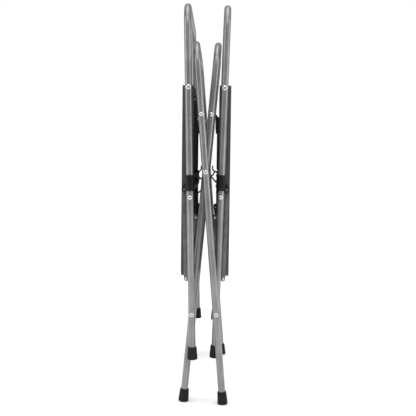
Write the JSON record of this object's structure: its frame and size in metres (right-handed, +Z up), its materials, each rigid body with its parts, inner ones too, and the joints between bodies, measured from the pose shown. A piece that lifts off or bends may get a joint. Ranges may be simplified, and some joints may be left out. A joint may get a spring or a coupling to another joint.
{
  "type": "folding tray table",
  "caption": "Folding steel-tube stand with crossing hoop frames and two swing-up side trays on folding stays, shown folded flat.",
  "frame": {"origin": "middle of the footprint of the folded stand, on the floor", "axes": "+Z up along the folded bundle; +X across it, towards the right-hand tray; Y along the hoops' top bars, front towards -Y"},
  "size_m": [0.1148, 0.438, 0.9131],
  "materials": {
    "tube_steel": "satin silver-grey powder coat",
    "zinc_rivet": "bright zinc plate",
    "black_nylon": "moulded, satin",
    "foot_rubber": "moulded, matte",
    "tray_plastic": "charcoal, fine moulded grain",
    "stay_steel": "dark grey, satin"
  },
  "bodies": {
    "left_frame": {"left_frame_tube": "tube_steel", "left_latch_bar": "black_nylon", "left_snap_clip": "black_nylon", "left_frame_foot_front": "foot_rubber", "left_frame_foot_back": "foot_rubber", "left_collar_front": "black_nylon", "left_collar_back": "black_nylon", "left_lower_pivot_front": "zinc_rivet", "left_lower_pivot_back": "zinc_rivet", "left_tray_bolt_front": "zinc_rivet", "left_tray_bolt_back": "zinc_rivet", "left_stay_pivot_front": "zinc_rivet", "left_stay_pivot_back": "zinc_rivet"},
    "inner_cross": {"inner_cross_frame_tube": "tube_steel", "inner_cross_frame_stretcher_rod": "zinc_rivet", "inner_cross_frame_foot_front": "foot_rubber", "inner_cross_frame_foot_back": "foot_rubber", "crossing_pivot_front": "zinc_rivet", "crossing_pivot_back": "zinc_rivet"},
    "outer_cross": {"outer_cross_frame_tube": "tube_steel", "outer_cross_frame_stretcher_rod": "zinc_rivet", "outer_cross_frame_foot_front": "foot_rubber", "outer_cross_frame_foot_back": "foot_rubber"},
    "right_frame": {"right_frame_tube": "tube_steel", "right_latch_bar": "black_nylon", "right_snap_clip": "black_nylon", "right_frame_foot_front": "foot_rubber", "right_frame_foot_back": "foot_rubber", "right_collar_front": "black_nylon", "right_collar_back": "black_nylon", "right_lower_pivot_front": "zinc_rivet", "right_lower_pivot_back": "zinc_rivet", "right_tray_bolt_front": "zinc_rivet", "right_tray_bolt_back": "zinc_rivet", "right_stay_pivot_front": "zinc_rivet", "right_stay_pivot_back": "zinc_rivet"},
    "left_tray": {"left_tray": "tray_plastic", "left_tray_rest_front": "black_nylon", "left_tray_rest_back": "black_nylon", "left_stay_joint_front": "zinc_rivet", "left_stay_joint_back": "zinc_rivet"},
    "left_lower_stay": {"left_lower_stay_front": "stay_steel", "left_lower_stay_back": "stay_steel", "left_knee_rivet_front": "zinc_rivet", "left_knee_rivet_back": "zinc_rivet"},
    "left_upper_stay": {"left_upper_stay_front": "stay_steel", "left_upper_stay_back": "stay_steel"},
    "right_tray": {"right_tray": "tray_plastic", "right_tray_rest_front": "black_nylon", "right_tray_rest_back": "black_nylon", "right_stay_joint_front": "zinc_rivet", "right_stay_joint_back": "zinc_rivet"},
    "right_lower_stay": {"right_lower_stay_front": "stay_steel", "right_lower_stay_back": "stay_steel", "right_knee_rivet_front": "zinc_rivet", "right_knee_rivet_back": "zinc_rivet"},
    "right_upper_stay": {"right_upper_stay_front": "stay_steel", "right_upper_stay_back": "stay_steel"}
  },
  "joints": [
    {"name": "unfold", "type": "hinge", "parent": "left_frame", "child": "inner_cross", "pos_m": [-0.0278, 0, 0.20814], "axis": [0, 1, 0], "range_deg": [0, 52.68], "deforming": ["left_snap_clip", "right_snap_clip"]},
    {"name": "crossing", "type": "hinge", "parent": "inner_cross", "child": "outer_cross", "pos_m": [0, 0, 0.53245], "axis": [0, 1, 0], "range_deg": [-108.7, 0]},
    {"name": "right_frame_turn", "type": "hinge", "parent": "outer_cross", "child": "right_frame", "pos_m": [0.0278, 0, 0.20814], "axis": [0, 1, 0], "range_deg": [0, 53.18]},
    {"name": "left_tray_swing", "type": "hinge", "parent": "left_frame", "child": "left_tray", "pos_m": [-0.04053, 0, 0.72148], "axis": [0, 1, 0], "range_deg": [0, 88.58]},
    {"name": "left_lower_stay_turn", "type": "hinge", "parent": "left_frame", "child": "left_lower_stay", "pos_m": [-0.04845, 0, 0.49221], "axis": [0, 1, 0], "range_deg": [0, 127.78]},
    {"name": "left_upper_stay_turn", "type": "hinge", "parent": "left_tray", "child": "left_upper_stay", "pos_m": [-0.02253, 0, 0.42748], "axis": [0, 1, 0], "range_deg": [-151.39, 0]},
    {"name": "right_tray_swing", "type": "hinge", "parent": "right_frame", "child": "right_tray", "pos_m": [0.04053, 0, 0.72148], "axis": [0, -1, 0], "range_deg": [0, 88.58]},
    {"name": "right_lower_stay_turn", "type": "hinge", "parent": "right_frame", "child": "right_lower_stay", "pos_m": [0.04845, 0, 0.49221], "axis": [0, -1, 0], "range_deg": [0, 127.78]},
    {"name": "right_upper_stay_turn", "type": "hinge", "parent": "right_tray", "child": "right_upper_stay", "pos_m": [0.02253, 0, 0.42748], "axis": [0, -1, 0], "range_deg": [-151.39, 0]}
  ],
  "couplings": [
    {"joint": "crossing", "follows": "unfold", "ratio": -2.0539},
    {"joint": "right_frame_turn", "follows": "unfold", "ratio": 1},
    {"joint": "left_lower_stay_turn", "follows": "left_tray_swing", "ratio": 1.4369},
    {"joint": "left_upper_stay_turn", "follows": "left_tray_swing", "ratio": -1.7035},
    {"joint": "right_lower_stay_turn", "follows": "right_tray_swing", "ratio": 1.4369},
    {"joint": "right_upper_stay_turn", "follows": "right_tray_swing", "ratio": -1.7035}
  ]
}
